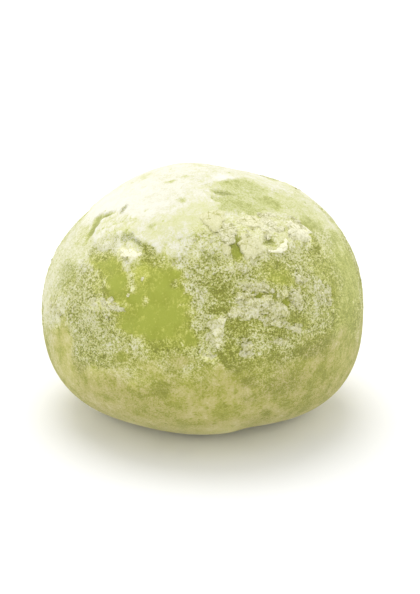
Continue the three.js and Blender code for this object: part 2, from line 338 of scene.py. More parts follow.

# Heaps of crumbs and the green gaps between them, with painted shade under one heap
HEAPS = [
    Patch((16, 35), (1.7, 1.2), -6, 0.92, 0.7, crumble=0.3, rise=0.15),
    Patch((25.7, 31), (1.4, 1.2), -9, 0.4, 0.8),
    Patch((4.3, 39.5), (1.5, 1), -1, 0.3, 1),
    Patch((5.7, 26.2), (2.1, 1.5), -17, 0.36, 1, fade=0.6),
    Patch((6, 26), (0.9, 0.8), -2, -0.2, 0.8, fade=0.8),
    Patch((5, 19.6), (2, 1.1), -2, 0.38, 1, fade=0.6),
    Patch((6.4, 19.6), (0.9, 0.7), -2, -0.2, 0.85, fade=0.7),
    Patch((32.5, 33.4), (2, 0.8), -11, 0.4, 0.8),
    Patch((33.8, 28), (2, 1.7), -15, 0.22, 0.4),
    Patch((41, 22.5), (1.1, 0.8), -14, 0.45, 0.75),
    Patch((59, 33.6), (1.1, 3), -40, 0.3, 0.8),
    Patch((21, 25.2), (2.2, 1.1), -8, 0.78, 0.7, crumble=0.5, rise=0.1, fade=0.3),
    Patch((16.3, 22.4), (1.4, 0.7), -7, 1.3, 0.5, crumble=0.3, rise=0.1),
    # Painted shade: a darker green strip under the heap above it
    Patch((21.3, 23), (1.2, 0.5), -8, -0.3, 0.4, crumble=0, rise=-0.1),
    Patch((28.3, 21.8), (1.1, 0.5), -10, 0.05, 0.6, crumble=0, rise=0),
    Patch((37.2, 19.7), (0.9, 0.9), -13, 0.85, 0.5, crumble=1, rise=0.3, fade=0.3),
    Patch((43.4, 25.2), (0.8, 0.5), -15, 0.85, 0.5, crumble=1, rise=0.3, fade=0.3),
    Patch((50.8, 16.4), (1.8, 1.9), -17, 1.1, 0.9, crumble=0.3, rise=0.1, fade=0.4),
    Patch((57, 15.5), (0.8, 2), -19, 0.2, 0.5),
    Patch((33.2, 18.4), (0.5, 0.55), -12, -0.05, 0.3, crumble=0, rise=-0.1, fade=0.3),
    Patch((22.8, 18.3), (3.3, 1.5), -8, 0.85, 0.6, crumble=0.4, rise=0.2, fade=0.2),
    Patch((12.5, 18.4), (1, 0.8), -3, 0.85, 0.5, crumble=0.4, rise=0.15, fade=0.3),
    Patch((30, 12.6), (1.4, 0.7), -27, 0.8, 0.7, crumble=0.5, rise=0.15, fade=0.3),
    Patch((20.5, 12.4), (1.5, 1), -10, 0.05, 0.75, crumble=0, rise=0),
    Patch((35, 8.8), (1.8, 0.4), -24, 0.9, 0.4, crumble=0.5, rise=0.15, fade=0.3),
    Patch((14.3, 12.8), (2.6, 1.1), -10, 0.2, 0.8, rise=0, fade=0.4),
    Patch((27.6, 9.4), (2.4, 0.8), -19, 0.3, 0.85, rise=0),
    Patch((10, 3.2), (1.8, 2.9), -4, 0.12, 0.75, rise=0, fade=0.35),
    Patch((17.7, -1), (1.8, 1.1), -7, 0.1, 0.6, rise=0),
    Patch((38, 11.6), (2.2, 1.1), -21, 0.12, 0.7, crumble=0),
    Patch((33.3, 16), (0.7, 0.5), -12, 0.1, 0.8),
    Patch((51, -1), (2.1, 1), -23, 0.88, 0.3, fade=0.6),
    Patch((41.7, 0.5), (2.9, 1.5), -7, 0.15, 0.7, fade=0.4),
    Patch((50.8, 2.1), (1.5, 0.9), 5, 0.32, 0.6),
    Patch((26.5, 0.4), (1.4, 0.8), -10, 0.3, 0.7),
    Patch((5.2, 12.7), (1, 1.7), -10, 1, 0.5, crumble=0.3, rise=0.2, fade=0.3),
    Patch((2.6, 2.6), (1.4, 0.9), -12, 1, 0.3, crumble=0.3, rise=0.15, fade=0.3),
    Patch((5.6, -2.7), (0.9, 0.8), -2, 0.95, 0.3),
    Patch((-7, 1.4), (1.7, 1), 3, 0.75, 0.3, packed=0.8, fade=0.6),
    Patch((15.4, 6.6), (0.6, 0.8), -3, 0.9, 0.5, crumble=1, rise=0.2, fade=0.3),
    Patch((15.2, 3.5), (0.9, 0.5), -6, 0.9, 0.5, crumble=1, rise=0.2, fade=0.3),
    Patch((28.5, 5.6), (1, 0.5), -10, 0.9, 0.5, crumble=0.8, rise=0.15, fade=0.3),
]

# Below the waist the coat is packed smooth: paler and greener places in it
PACKED = [
    Patch((-18.6, -2.6), (2.3, 1.6), 7, 0.75, 0.2, packed=0.7, fade=0.6),
    Patch((-34, -7), (2.3, 0.9), 13, 0.9, 0.3, fade=0.4),
    Patch((-59, -7), (2.2, 3.9), 9, 0.72, 0.1),
    Patch((-42, -13), (1.5, 2.4), 10, 0.85, 0.1),
    Patch((-27.5, -18), (5.6, 4.8), 2, 0.52, 0.3, fade=0.6),
    Patch((-42, -24), (3.6, 2.2), 12, 0.85, 0.2, fade=0.6),
    Patch((-24, -27), (3.2, 1.8), 5, 0.85, 0.2, fade=0.6),
    Patch((37.5, -10.9), (2, 1), -26, 0.2, 0.2, fade=0.6),
    Patch((-6, -7.3), (1.3, 1.4), 2, 0.3, 0.2, fade=0.6),
    Patch((-9, -27), (2.4, 1.6), 0, 0.4, 0.2, fade=0.6),
    Patch((-15, -10), (1.8, 1.5), 6, 0.22, 0.4, fade=0.6),
    Patch((-35, -11.8), (2, 1.3), 14, 0.72, 0.2, fade=0.6),
    Patch((-22.4, -5.8), (1.3, 0.8), 9, 0.5, 0.4, fade=0.6),
    Patch((-44, -10.5), (2.1, 1.2), 35, 0.55, 0.2, fade=0.6),
    Patch((5.3, -3), (0.7, 1.4), -24, 1.25, 0.2, packed=0.7),
    Patch((-25, -10.5), (0.7, 0.9), 8, 0.8, 0.1),
    Patch((0, -4.6), (2.2, 0.8), 0, 0.75, 0.5, fade=0.6),
    Patch((29, -11), (5.2, 2.4), -12, 0.38, 0.5, fade=0.6),
    Patch((45, -20), (3.8, 2.9), -19, 0.42, 0.3, fade=0.6),
    Patch((4.7, -15), (5.2, 4.2), -3, 0.52, 0.1, packed=1),
    Patch((13.5, -9), (3.2, 1.5), -6, 0.6, 0.15, packed=1),
    Patch((24, -23), (4.4, 1.8), -8, 0.6, 0.15),
    Patch((17.6, -14.6), (1.2, 0.8), -10, 0.3, 0.4, fade=0.6),
    Patch((26, -24), (0.9, 1), -13, 0.1, 0.4),
    Patch((5, -32), (3.9, 3.4), -10, 0.75, 0.1),
    Patch((-0.8, -21.6), (2.4, 1.7), 0, 0.85, 0.1, packed=1, fade=0.6),
    Patch((18, -8), (2, 1), -8, 0.3, 0.5),
    Patch((48.3, -4), (1.1, 1), -2, 0.42, 0.4, fade=0.6),
]

# The sides and the back: bare places, films, meal, and tongues and gaps in the cap's edge
BEHIND = [
    Patch((108, 12), (4.6, 3.2), 20, 0, 0.2, rise=0, fade=0.4),
    Patch((119, 5), (3.2, 1.6), -15, 0.12, 0.4, rise=0),
    Patch((104, 16), (1.2, 0.7), 10, 0.75, 0.7),
    Patch((94, -3), (5, 3.4), 10, 0.85, 0.25, packed=0.8, fade=0.6),
    Patch((128, 27), (4.6, 3.2), -12, 0.82, 0.9, crumble=0.3, rise=0.1, fade=0.4),
    Patch((110, 40), (5, 2.6), 18, 0.95, 0.2, rise=0.2, crown=0.9, fade=0.4),
    Patch((138, 47), (3.6, 2.6), -20, 0.35, 0.8, rise=0, crown=0, fade=0.4),
    Patch((152, 8), (4, 2.6), 10, 0.85, 0.9, crumble=0.4, rise=0.1, fade=0.4),
    Patch((172, 24), (5.2, 3.4), -25, 0.14, 0.4, rise=0, fade=0.4),
    Patch((177, 18), (2.8, 1.6), 12, -0.05, 0.1, rise=0),
    Patch((166, 28), (1, 0.6), -30, 0.8, 0.7),
    Patch((167, -7), (6, 3), 5, 0.85, 0.2, packed=0.9, fade=0.6),
    Patch((-168, 42), (4.6, 2.6), 12, 1, 0.15, rise=0.25, crown=1, fade=0.3),
    Patch((-148, 46), (3.4, 2.4), 30, 0.35, 0.7, rise=0, crown=0, fade=0.4),
    Patch((-160, 4), (4, 3), -10, 0.28, 0.85),
    Patch((-140, 24), (5.4, 4.2), 15, 0.75, 0.8),
    Patch((-125, 17), (3.8, 2.4), -8, 0.88, 0.7, crumble=0.4, rise=0.15, fade=0.4),
    Patch((-113, 31), (4.2, 2.8), 25, 0.05, 0.2, rise=0, fade=0.4),
    Patch((-107, 24), (2.2, 1.2), -20, 0.35, 0.8),
    Patch((-104, 2), (5.4, 4), 10, 0.85, 0.3, packed=0.7, fade=0.6),
    Patch((-126, 47), (3.6, 2), -10, 0.95, 0.2, rise=0.2, crown=0.9, fade=0.4),
    Patch((-138, -12), (4.6, 3), 0, 0.3, 0.5, fade=0.6),
    Patch((130, -12), (4.8, 3.2), 0, 0.3, 0.5, fade=0.6),
]

PATCHES = ZONES + CAP + VEIL + BARE + LEFT + CRUSTS + HEAPS + PACKED + BEHIND

# The elevations between which the coat turns into the crown's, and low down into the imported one
CROWN_FROM, CROWN_TO = 38, 58
PACKED_FROM, PACKED_TO = 5, -14

# The pale ring round the foot, painted bounce light that lifts the shade where the ball meets the floor, by
# its height over the floor in millimetres
FOOT_FROM, FOOT_TO = 7, 1


class Coat:
    """The starch over the skin, one value of each kind for every point of it."""

    def __init__(self, skin):
        points = skin.points()
        self.directions = skin.directions
        self.ragged = [ragged_shift(points, seed) for seed in (1, 2)]
        elevation = np.degrees(np.arcsin(self.directions[:, 2]))
        wander = pattern(points, 5 * MM, 11)
        self.crown = smoothstep(CROWN_FROM, CROWN_TO, elevation + 8 * wander)
        self.packed = smoothstep(PACKED_FROM, PACKED_TO, elevation + 6 * wander)
        self.starch = 0.58 + 0.35 * self.crown
        self.grain = 0.85 - 0.7 * self.crown - 0.6 * self.packed
        self.crumble = np.zeros(len(points))
        # How far into the ring of painted bounce light round the foot each point is
        self.foot = smoothstep(FOOT_FROM, FOOT_TO, points[:, 2] / MM + wander)
        self.rise = 0.3 * self.crown
        sunk = 0.2 * self.crown
        for patch in PATCHES:
            self.paint(patch)
        self.level = self.starch + self.unevenness(points)
        self.height = MM * (self.rise - sunk + self.relief(points))

    def share_inside(self, patch):
        """How far each point is inside a patch: 1 within, 0 outside, and ragged in between."""
        along, up = along_and_up(*patch.at, patch.tilt)
        narrow = min(patch.half)
        shifts = [coarse * narrow / 6 + fine * min(1, narrow / 2) for coarse, fine in self.ragged]
        shift_along, shift_up = shifts
        sideways = (MEAN_REACH / MM * self.directions @ along + shift_along) / patch.half[0]
        upwards = (MEAN_REACH / MM * self.directions @ up + shift_up) / patch.half[1]
        share = 1 - smoothstep(1 - patch.fade, 1 + patch.fade, np.hypot(sideways, upwards))
        return share * (self.directions @ towards(*patch.at) > 0)

    def paint(self, patch):
        share = self.share_inside(patch)
        for kind in KINDS:
            wanted = getattr(patch, kind)
            if wanted is not None:
                before = getattr(self, kind)
                setattr(self, kind, before + share * (wanted - before))

    def unevenness(self, points):
        """How far the cover swings about its mean: broad mottling, meal and crumbs."""
        broad = 0.4 * pattern(points, 4 * MM, 12) + 0.4 * pattern(points, 2 * MM, 13)
        settled = 0.35 + 0.65 * (1 - self.crown) * np.clip(self.grain + self.packed, 0, 1)
        self.meal = lumpy(points, 0.95 * MM, 21) + 0.6 * lumpy(points, 0.55 * MM, 22)
        self.crumbs = lumpy(points, 1.7 * MM, 23) + 0.5 * lumpy(points, 0.9 * MM, 24)
        self.cracks = smoothstep(-0.78, -0.96, pattern(points, 2.4 * MM, 25, "VORONOI_F2F1"))
        cracked = np.clip(2 * self.crumble, 0, 1) * self.cracks
        broken = 0.6 * self.crumble * self.crumbs - 0.6 * cracked
        return 0.5 * broad * settled + 0.5 * self.grain * self.meal + broken

    def relief(self, points):
        """Millimetres that meal and crumbs stand above or below the coat's mean height."""
        covered = np.clip(self.starch * 1.5, 0, 1)
        meal = 0.3 * self.grain * self.meal * (1 - 0.6 * self.packed)
        return covered * (meal + self.crumble * (self.crumbs - 0.25 * self.cracks))


def ragged_shift(points, seed):
    """How far, in millimetres, the edges of patches are pushed about: in broad and in fine waves."""
    coarse = 3.0 * pattern(points, 4 * MM, seed)
    fine = 0.7 * pattern(points, 1.1 * MM, seed + 2) + 0.5 * pattern(points, 0.6 * MM, seed + 4)
    return coarse, fine


# Materials

# What the coat looks like as it grows thicker, from bare dough to a full cover
MEALY_COLOURS = {
    0.0: (0.285, 0.3, 0.03),
    0.25: (0.415, 0.44, 0.049),
    0.5: (0.575, 0.595, 0.124),
    0.75: (0.72, 0.72, 0.262),
    1.0: (0.85, 0.847, 0.41),
    1.3: (0.95, 0.94, 0.60),
    1.6: (1, 0.985, 0.75),
}
PACKED_COLOURS = {
    0.0: (0.29, 0.295, 0.036),
    0.35: (0.38, 0.38, 0.062),
    0.6: (0.48, 0.443, 0.122),
    1.0: (0.555, 0.495, 0.205),
    1.6: (0.67, 0.63, 0.33),
}
CROWN_COLOURS = {
    0.0: (0.38, 0.4, 0.11),
    0.3: (0.51, 0.54, 0.185),
    0.6: (0.62, 0.63, 0.31),
    0.8: (0.67, 0.667, 0.4),
    1.0: (0.735, 0.72, 0.585),
    1.3: (0.83, 0.82, 0.70),
}
CRUST_COLOURS = {
    0.0: (0.33, 0.32, 0.11),
    0.5: (0.56, 0.55, 0.23),
    0.8: (0.66, 0.645, 0.39),
    1.0: (0.76, 0.74, 0.47),
    1.3: (0.89, 0.87, 0.61),
    1.6: (1, 0.975, 0.76),
}
HEAP_COLOURS = {
    0.0: (0.32, 0.31, 0.055),
    0.5: (0.55, 0.545, 0.15),
    0.8: (0.66, 0.65, 0.26),
    1.0: (0.75, 0.735, 0.34),
    1.3: (0.86, 0.84, 0.48),
    1.6: (0.98, 0.955, 0.68),
}
DOUGH = (0.36, 0.403, 0.047)
DEEP_DOUGH = (0.31, 0.343, 0.031)
# A dark olive painted into the deepest pores of the meal: painted shade
PORE_SHADE = (0.2, 0.21, 0.03)
# Painted bounce light round the foot, and paler still in its lowest strip
FOOT_BOUNCE_LIGHT = (0.79, 0.73, 0.33)
FOOT_RIM_BOUNCE_LIGHT = (0.92, 0.88, 0.56)

# The thickest coat in the tables of colours
RAMP_TOP = 1.6

# The dusty finish: how rough it is, how strongly it lights up where it is seen at a slant and in which
# colour, and how deep the finest grain looks
DUSTY_ROUGHNESS = 0.85
DUSTY_SHEEN = 0.2
SHEEN_COLOUR = (0.95, 0.93, 0.75)
GRAIN_DEPTH = 0.1 * MM


class Nodes:
    """Adds nodes to a material. An input is a number, a colour or another node's output."""

    def __init__(self, name):
        self.material = bpy.data.materials.new(name)
        self.material.use_nodes = True
        self.tree = self.material.node_tree

    def finished(self, inputs):
        """The material, once its shader has its inputs."""
        for name, value in inputs.items():
            self.feed(self.tree.nodes["Principled BSDF"].inputs[name], value)
        return self.material

    def feed(self, socket, value):
        if isinstance(value, bpy.types.NodeSocket):
            self.tree.links.new(value, socket)
        elif isinstance(value, tuple) and len(value) == 3 and socket.type == "RGBA":
            socket.default_value = (*value, 1)
        else:
            socket.default_value = value

    def add(self, kind, inputs, output=0, **settings):
        node = self.tree.nodes.new(kind)
        for name, value in settings.items():
            setattr(node, name, value)
        for name, value in inputs.items():
            self.feed(node.inputs[name], value)
        return node.outputs[output]

    def math(self, operation, *values):
        """Values added, multiplied or subtracted one after the other."""

        def joined(first, second):
            return self.add("ShaderNodeMath", {0: first, 1: second}, operation=operation)

        return reduce(joined, values)

    def total(self, *terms):
        return self.math("ADD", *terms)

    def times(self, *factors):
        return self.math("MULTIPLY", *factors)

    def mix(self, share, first, second):
        """A colour between two others. The mixing node's colour sockets are its seventh and eighth."""
        node = self.tree.nodes.new("ShaderNodeMix")
        node.data_type = "RGBA"
        self.feed(node.inputs[0], share)
        self.feed(node.inputs[6], first)
        self.feed(node.inputs[7], second)
        return node.outputs[2]

    def ramp(self, value, colours):
        """The colour at a value, from a table of colours."""
        node = self.tree.nodes.new("ShaderNodeValToRGB")
        self.feed(node.inputs[0], self.times(value, 1 / RAMP_TOP))
        stops = node.color_ramp.elements
        while len(stops) < len(colours):
            stops.new(0.5)
        for stop, (position, colour) in zip(stops, colours.items()):
            stop.position = position / RAMP_TOP
            stop.color = (*colour, 1)
        return node.outputs[0]

    def attribute(self, name):
        return self.add("ShaderNodeAttribute", {}, output="Fac", attribute_name=name)

    def place(self):
        return self.add("ShaderNodeTexCoord", {}, output="Object")

    def noise(self, wavelength, height, detail=2, roughness=0.5):
        """Smooth noise that swings by a height either way about 0."""
        inputs = {"Vector": self.place(), "Scale": 1 / wavelength, "Detail": detail, "Roughness": roughness}
        centred = self.math("SUBTRACT", self.add("ShaderNodeTexNoise", inputs), 0.5)
        return self.times(centred, 2 * height)

    def lumps(self, width, height):
        """Rounded lumps of a width, about half the height above 0 on a lump and below it in the gaps."""
        inputs = {"Vector": self.place(), "Scale": 1 / width, "Randomness": 1.0}
        centred = self.math("SUBTRACT", 0.5, self.add("ShaderNodeTexVoronoi", inputs))
        return self.times(centred, height)

    def step(self, value, low, high):
        inputs = {"Value": value, "From Min": low, "From Max": high}
        return self.add("ShaderNodeMapRange", inputs, interpolation_type="SMOOTHSTEP")

    def cracks(self, apart, width):
        """Crooked hair cracks, 1 on a crack and 0 off it, broken off here and there."""
        bends = {"Vector": self.place(), "Scale": 2 / apart, "Detail": 3.0}
        bent = self.add("ShaderNodeTexNoise", bends, output="Color")
        pull = {0: bent, 1: (0.6 * apart,) * 3, 2: self.place()}
        place = self.add("ShaderNodeVectorMath", pull, operation="MULTIPLY_ADD")
        inputs = {"Vector": place, "Scale": 1 / apart}
        edge = self.add("ShaderNodeTexVoronoi", inputs, feature="DISTANCE_TO_EDGE")
        whole = self.step(self.noise(1.3 * apart, 1), -0.2, 0.1)
        return self.times(self.step(edge, width / apart, 0), whole)


def skin_material():
    nodes = Nodes("dough_and_starch")
    grain, packed, crown, foot = map(nodes.attribute, ("grain", "packed", "crown", "foot"))
    grains = fine_grains(nodes)
    mealy = nodes.times(grains, nodes.total(0.12, grain, nodes.times(packed, 0.1)))
    mottle = nodes.noise(1.2 * MM, 0.45, 4, 0.7)
    patchy = nodes.times(nodes.noise(2.2 * MM, 1, 5, 0.75), packed)
    olive = nodes.times(nodes.step(nodes.lumps(1.7 * MM, 1), 0.36, 0.46), packed)
    flecks = nodes.times(nodes.step(nodes.noise(1.3 * MM, 1, 3, 0.6), 0.18, 0.36), packed, 0.75)
    crumbly = nodes.step(nodes.attribute("crumble"), 0.02, 0.25)
    cracks = nodes.times(nodes.cracks(1.5 * MM, 0.09 * MM), crumbly)
    dark = nodes.times(nodes.total(cracks, olive, flecks), -0.6)
    lifted = nodes.total(nodes.times(grain, 0.06), nodes.times(packed, 0.02))
    level = nodes.total(nodes.attribute("level"), mealy, mottle, patchy, dark, lifted)
    coat = nodes.ramp(level, MEALY_COLOURS)
    # Painted shade: the deepest pores between the grains turn a dark olive, darker than bare dough
    pore_shade = nodes.times(nodes.step(grains, -0.35, -0.9), grain, 0.5)
    coat = nodes.mix(pore_shade, coat, PORE_SHADE)
    smooth = nodes.step(grain, 0.7, 0.25)
    bare = nodes.times(nodes.step(level, 0.45, 0.05), smooth)
    coat = nodes.mix(bare, coat, dough_colour(nodes, level))
    coat = nodes.mix(packed, coat, nodes.ramp(level, PACKED_COLOURS))
    # Painted bounce light: the coat turns paler towards the floor, palest in the lowest strip
    coat = nodes.mix(nodes.times(foot, 0.7), coat, FOOT_BOUNCE_LIGHT)
    coat = nodes.mix(nodes.step(foot, 0.7, 1), coat, FOOT_RIM_BOUNCE_LIGHT)
    specks = nodes.total(nodes.lumps(2.6 * MM, 1), nodes.noise(0.6 * MM, 0.2, 3, 0.6))
    crown_level = nodes.math("SUBTRACT", level, nodes.times(nodes.step(specks, 0.38, 0.5), 0.8))
    coat = nodes.mix(crown, coat, nodes.ramp(crown_level, CROWN_COLOURS))
    return dusty(nodes, coat, mealy)


def dusty(nodes, colour, height):
    """The material, with its colour, a dusty matt finish, and grain too fine to be formed."""
    bump = nodes.add("ShaderNodeBump", {"Strength": 1, "Distance": GRAIN_DEPTH, "Height": height})
    finish = {"Roughness": DUSTY_ROUGHNESS, "Sheen Weight": DUSTY_SHEEN, "Sheen Tint": SHEEN_COLOUR}
    return nodes.finished({"Base Color": colour, **finish, "Normal": bump})


def dough_colour(nodes, level):
    """Bare dough: bright green, deeper in broad places, with specks of dust where the coat begins."""
    deep = nodes.step(nodes.noise(3 * MM, 1), -0.2, 0.4)
    dough = nodes.mix(deep, DOUGH, DEEP_DOUGH)
    specks = nodes.noise(0.4 * MM, 1.9, 4, 0.75)
    dust = nodes.total(specks, nodes.noise(1.5 * MM, 1), nodes.times(level, 1.4))
    return nodes.mix(nodes.times(nodes.step(dust, 0, 0.9), 0.85), dough, MEALY_COLOURS[0.5])


def fine_grains(nodes):
    """Meal too fine to be formed: about 0, with pale grains above it and pores below."""
    specks = nodes.lumps(0.24 * MM, 1.2)
    return nodes.total(specks, nodes.noise(0.32 * MM, 2.4, 4, 0.8), nodes.noise(0.7 * MM, 0.6))


def starch_material():
    nodes = Nodes("dry_starch")
    grains = fine_grains(nodes)
    level = nodes.total(1.22, nodes.times(grains, 0.95), nodes.noise(1.2 * MM, 0.6, 3, 0.6))
    return dusty(nodes, nodes.ramp(level, HEAP_COLOURS), grains)


def crust_material():
    """Starch dried into plates: their level says how thick it looks, with painted highlight and shade on the
    knobs, and their rough how mealy.
    """
    nodes = Nodes("dried_starch")
    rough = nodes.attribute("rough")
    grains = nodes.times(fine_grains(nodes), nodes.total(0.2, nodes.times(rough, 0.75)))
    mottle = nodes.noise(0.9 * MM, 0.4, 4, 0.7)
    depth = nodes.total(-0.65, nodes.times(rough, -0.4))
    cracks = nodes.times(nodes.cracks(1.5 * MM, 0.1 * MM), depth)
    level = nodes.total(nodes.attribute("level"), grains, mottle, cracks, nodes.times(rough, 0.2))
    mealy = nodes.step(rough, 0.5, 0.6)
    colour = nodes.mix(mealy, nodes.ramp(level, CRUST_COLOURS), nodes.ramp(level, HEAP_COLOURS))
    return dusty(nodes, colour, grains)


# Pieces


def add_object(name, data):
    thing = bpy.data.objects.new(name, data)
    bpy.context.scene.collection.objects.link(thing)
    return thing


def add_piece(mesh, material):
    """A piece of the cake, from a mesh that is already in place."""
    piece = add_object(mesh.name, mesh)
    mesh.materials.append(material)
    mesh.shade_smooth()
    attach(piece, BODY)
    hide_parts(CAKE)


def make_skin(skin, coat):
    skin.reach = skin.reach + coat.height
    skin.mesh.vertices.foreach_set("co", skin.points().ravel())
    skin.mesh.update()
    for kind in ("level", "grain", "crumble", "packed", "crown", "foot"):
        store_values(skin.mesh, kind, getattr(coat, kind))
    add_piece(skin.mesh, skin_material())


def store_values(mesh, name, values):
    """Keeps a value for each point of a mesh, which its material reads by name."""
    mesh.attributes.new(name, "FLOAT", "POINT").data.foreach_set("value", values.astype(np.float32))


@dataclass
class Flake:
    """A plate of dried starch: its place, half sizes, tilt, and height over the dough, in millimetres.

    rough: 0 is smooth and 1 knobbly. level: how thick it looks. lean: the share of its height that it has
    lost at its upper edge. ragged: how uneven its outline is.
    """

    at: tuple
    half: tuple
    tilt: float
    height: float
    rough: float = 0.6
    level: float = 1
    lean: float = 0.3
    ragged: float = 0.5


# The crust's plates from left to right, and the white flake under the cap's lobe
PLATES = [
    Flake((7.3, 56.2), (2.1, 2.3), 3, 0.5, lean=0.9, rough=0, ragged=0.3, level=0.8),
    Flake((15.3, 49.9), (1.6, 1.9), 1, 0.5, lean=0.8, rough=0.4),
    Flake((12.1, 41.6), (0.7, 1), -5, 0.3, lean=0, rough=0.1, ragged=0.3, level=0.75),
    Flake((25.9, 42.6), (2, 2.3), -15, 0.52, lean=0.7, rough=0.1, ragged=0.35, level=0.8),
    Flake((33.2, 52.8), (2.2, 1.5), -22, 0.4, lean=1, rough=0.15, level=0.95),
    Flake((48.3, 50.3), (2, 1.9), -36, 0.42, lean=1, rough=0.45, ragged=0.6),
    Flake((40.4, 45.9), (1.5, 1.7), -40, 0.42, lean=0.8, rough=0.45, ragged=0.6),
    Flake((55.8, 43.4), (2, 1.6), -58, 0.6, lean=0.8, rough=0.35, level=1.22),
    Flake((54.4, 39.7), (1.9, 0.9), -32, 0.45, lean=0.5, rough=0.45, level=0.85),
    Flake((-35.8, 37.2), (2.3, 0.85), 3, 0.5, lean=0.5, rough=0.15, level=1.35),
    Flake((-35.8, 16.8), (2.1, 0.38), -6, 0.25, lean=0.2, rough=0.45, ragged=0.7, level=0.95),
]

# Heaps of packed meal, from left to right
HEAPED = [
    Flake((5.6, 12.2), (1, 1.7), -22, 0.5, level=1.35),
    Flake((6, 8), (0.5, 0.8), -10, 0.4, ragged=0.4, level=1.2),
    Flake((12.6, 18.3), (1.1, 1), -3, 0.4, rough=0.9, level=1.1),
    Flake((17, 5.4), (0.6, 0.7), -6, 0.35, ragged=0.4, level=1.1),
    Flake((18.3, 18.9), (1.6, 1.5), 10, 0.5, rough=0.9, level=1.25),
    Flake((25.5, 18.2), (1.9, 1.4), -20, 0.5, rough=0.9, level=1.05),
    Flake((31, 16.2), (0.7, 1), -12, 0.4, rough=0.8),
    Flake((17, 23.6), (1, 0.7), -8, 0.4, rough=0.9, ragged=0.6),
    Flake((24.3, 25.4), (1.3, 0.8), -8, 0.3, rough=0.5, level=0.85),
    Flake((25.5, 21.8), (1, 0.5), -8, 0.4, ragged=0.4, level=1.05),
    Flake((33.5, 22), (0.8, 0.5), -12, 0.4, ragged=0.4, level=1.1),
    Flake((38.6, 18.8), (0.8, 1.3), -13, 0.45, ragged=0.4, level=1.28),
    Flake((27.8, 12.9), (1.3, 0.5), -14, 0.4, rough=0.8),
    Flake((35, 8.9), (1.5, 0.38), -24, 0.35, rough=0.8, ragged=0.7, level=1.25),
    Flake((29, 5.9), (1.3, 0.4), -6, 0.35, rough=0.7, level=1.05),
    Flake((42.5, 25.8), (0.8, 0.5), -30, 0.35, rough=0.5, ragged=0.4, level=1.05),
    Flake((52.4, 17), (1.2, 0.9), -20, 0.25, rough=0.8, ragged=0.7),
]

# Plates and heaps on the sides and the back
FAR_FLAKES = [
    Flake((128, 28), (2.2, 1.2), -12, 0.5, rough=0.7, level=1.05),
    Flake((138, 41), (1.8, 1.3), 20, 0.45, lean=0.8, rough=0.2, ragged=0.3, level=0.9),
    Flake((150, 8), (2.4, 1.1), 10, 0.5, rough=0.8),
    Flake((160, 12), (1, 0.8), -20, 0.4, level=1.05),
    Flake((-168, 38), (2, 1.4), 12, 0.5, lean=0.8, rough=0.2, ragged=0.3, level=0.95),
    Flake((-160, 34), (1.2, 0.9), -10, 0.4, lean=0.5, rough=0.4, ragged=0.3),
    Flake((-125, 19), (2.2, 1), -8, 0.45, rough=0.8),
    Flake((-117, 14), (0.9, 0.7), 20, 0.4, level=1.05),
]

# The bright curled lip of the crust: an arc on the skin about a place, with its radius, the directions of
# its two ends from there in degrees, half its width and thickness, and its height, in millimetres. It is
# meshed in steps along the arc, with so many sides round it
LIP_ABOUT = (36.5, 44.2)
LIP_RADIUS = 2.85
LIP_SPAN = (-125, -22)
LIP_HALF = (0.5, 0.3)
LIP_HEIGHT = 0.3
LIP_STEPS = 48
LIP_SIDES = 12
LIP_LEVEL = 1.4
LIP_ROUGHNESS = 0.25

# How each flake is meshed: points round its edge, rings from its middle out, and how far its rim reaches
# down into the dough
FLAKE_SPOKES = 96
FLAKE_RINGS = 20
RIM_DEPTH = 0.4 * MM


def tree_of(skin):
    """For finding how far the skin, as it is now, reaches from the heart."""
    faces = [face.vertices[:] for face in skin.mesh.polygons]
    return BVHTree.FromPolygons(skin.points().tolist(), faces)


def flake_faces():
    """The triangles of a flake: its top, its rim and its hidden underside."""
    first = np.arange(FLAKE_SPOKES)
    following = (first + 1) % FLAKE_SPOKES
    middle = np.zeros_like(first)
    faces = [np.stack([middle, 1 + first, 1 + following], axis=1)]
    for ring in range(FLAKE_RINGS):
        inner = 1 + ring * FLAKE_SPOKES
        outer = inner + FLAKE_SPOKES
        faces.append(np.stack([inner + first, outer + first, outer + following], axis=1))
        faces.append(np.stack([inner + first, outer + following, inner + following], axis=1))
    rim = 1 + FLAKE_RINGS * FLAKE_SPOKES
    under = np.full_like(first, rim + FLAKE_SPOKES)
    faces.append(np.stack([under, rim + following, rim + first], axis=1))
    return np.concatenate(faces)


def flake_spread(flake, seed):
    """The directions to a flake's middle and rings, how far up it each point is, and its share of height."""
    along, up = along_and_up(*flake.at, flake.tilt)
    angles = np.linspace(0, 2 * math.pi, FLAKE_SPOKES, endpoint=False)
    circle = np.stack([np.cos(angles), np.sin(angles), np.full_like(angles, 3 * seed)], axis=1)
    waves = pattern(circle, 1, 31) + 0.6 * pattern(circle, 0.4, 32) + 0.35 * pattern(circle, 0.16, 33)
    shares = np.linspace(0, 1, FLAKE_RINGS + 1)[1:, None]
    outwards = (1 - (1 - shares) ** 1.5) * (1 + flake.ragged * waves * shares)
    sideways = flake.half[0] * (np.cos(angles) * outwards).ravel()
    upwards = flake.half[1] * (np.sin(angles) * outwards).ravel()
    centre = MEAN_REACH / MM * towards(*flake.at)
    spread = centre + sideways[:, None] * along + upwards[:, None] * up
    upper = np.concatenate([[0], upwards / flake.half[1]])
    inner = np.concatenate([[1], np.repeat(0.5 + 0.5 * (1 - shares.ravel() ** 4), FLAKE_SPOKES)])
    return unit(np.vstack([centre, spread])), upper, inner


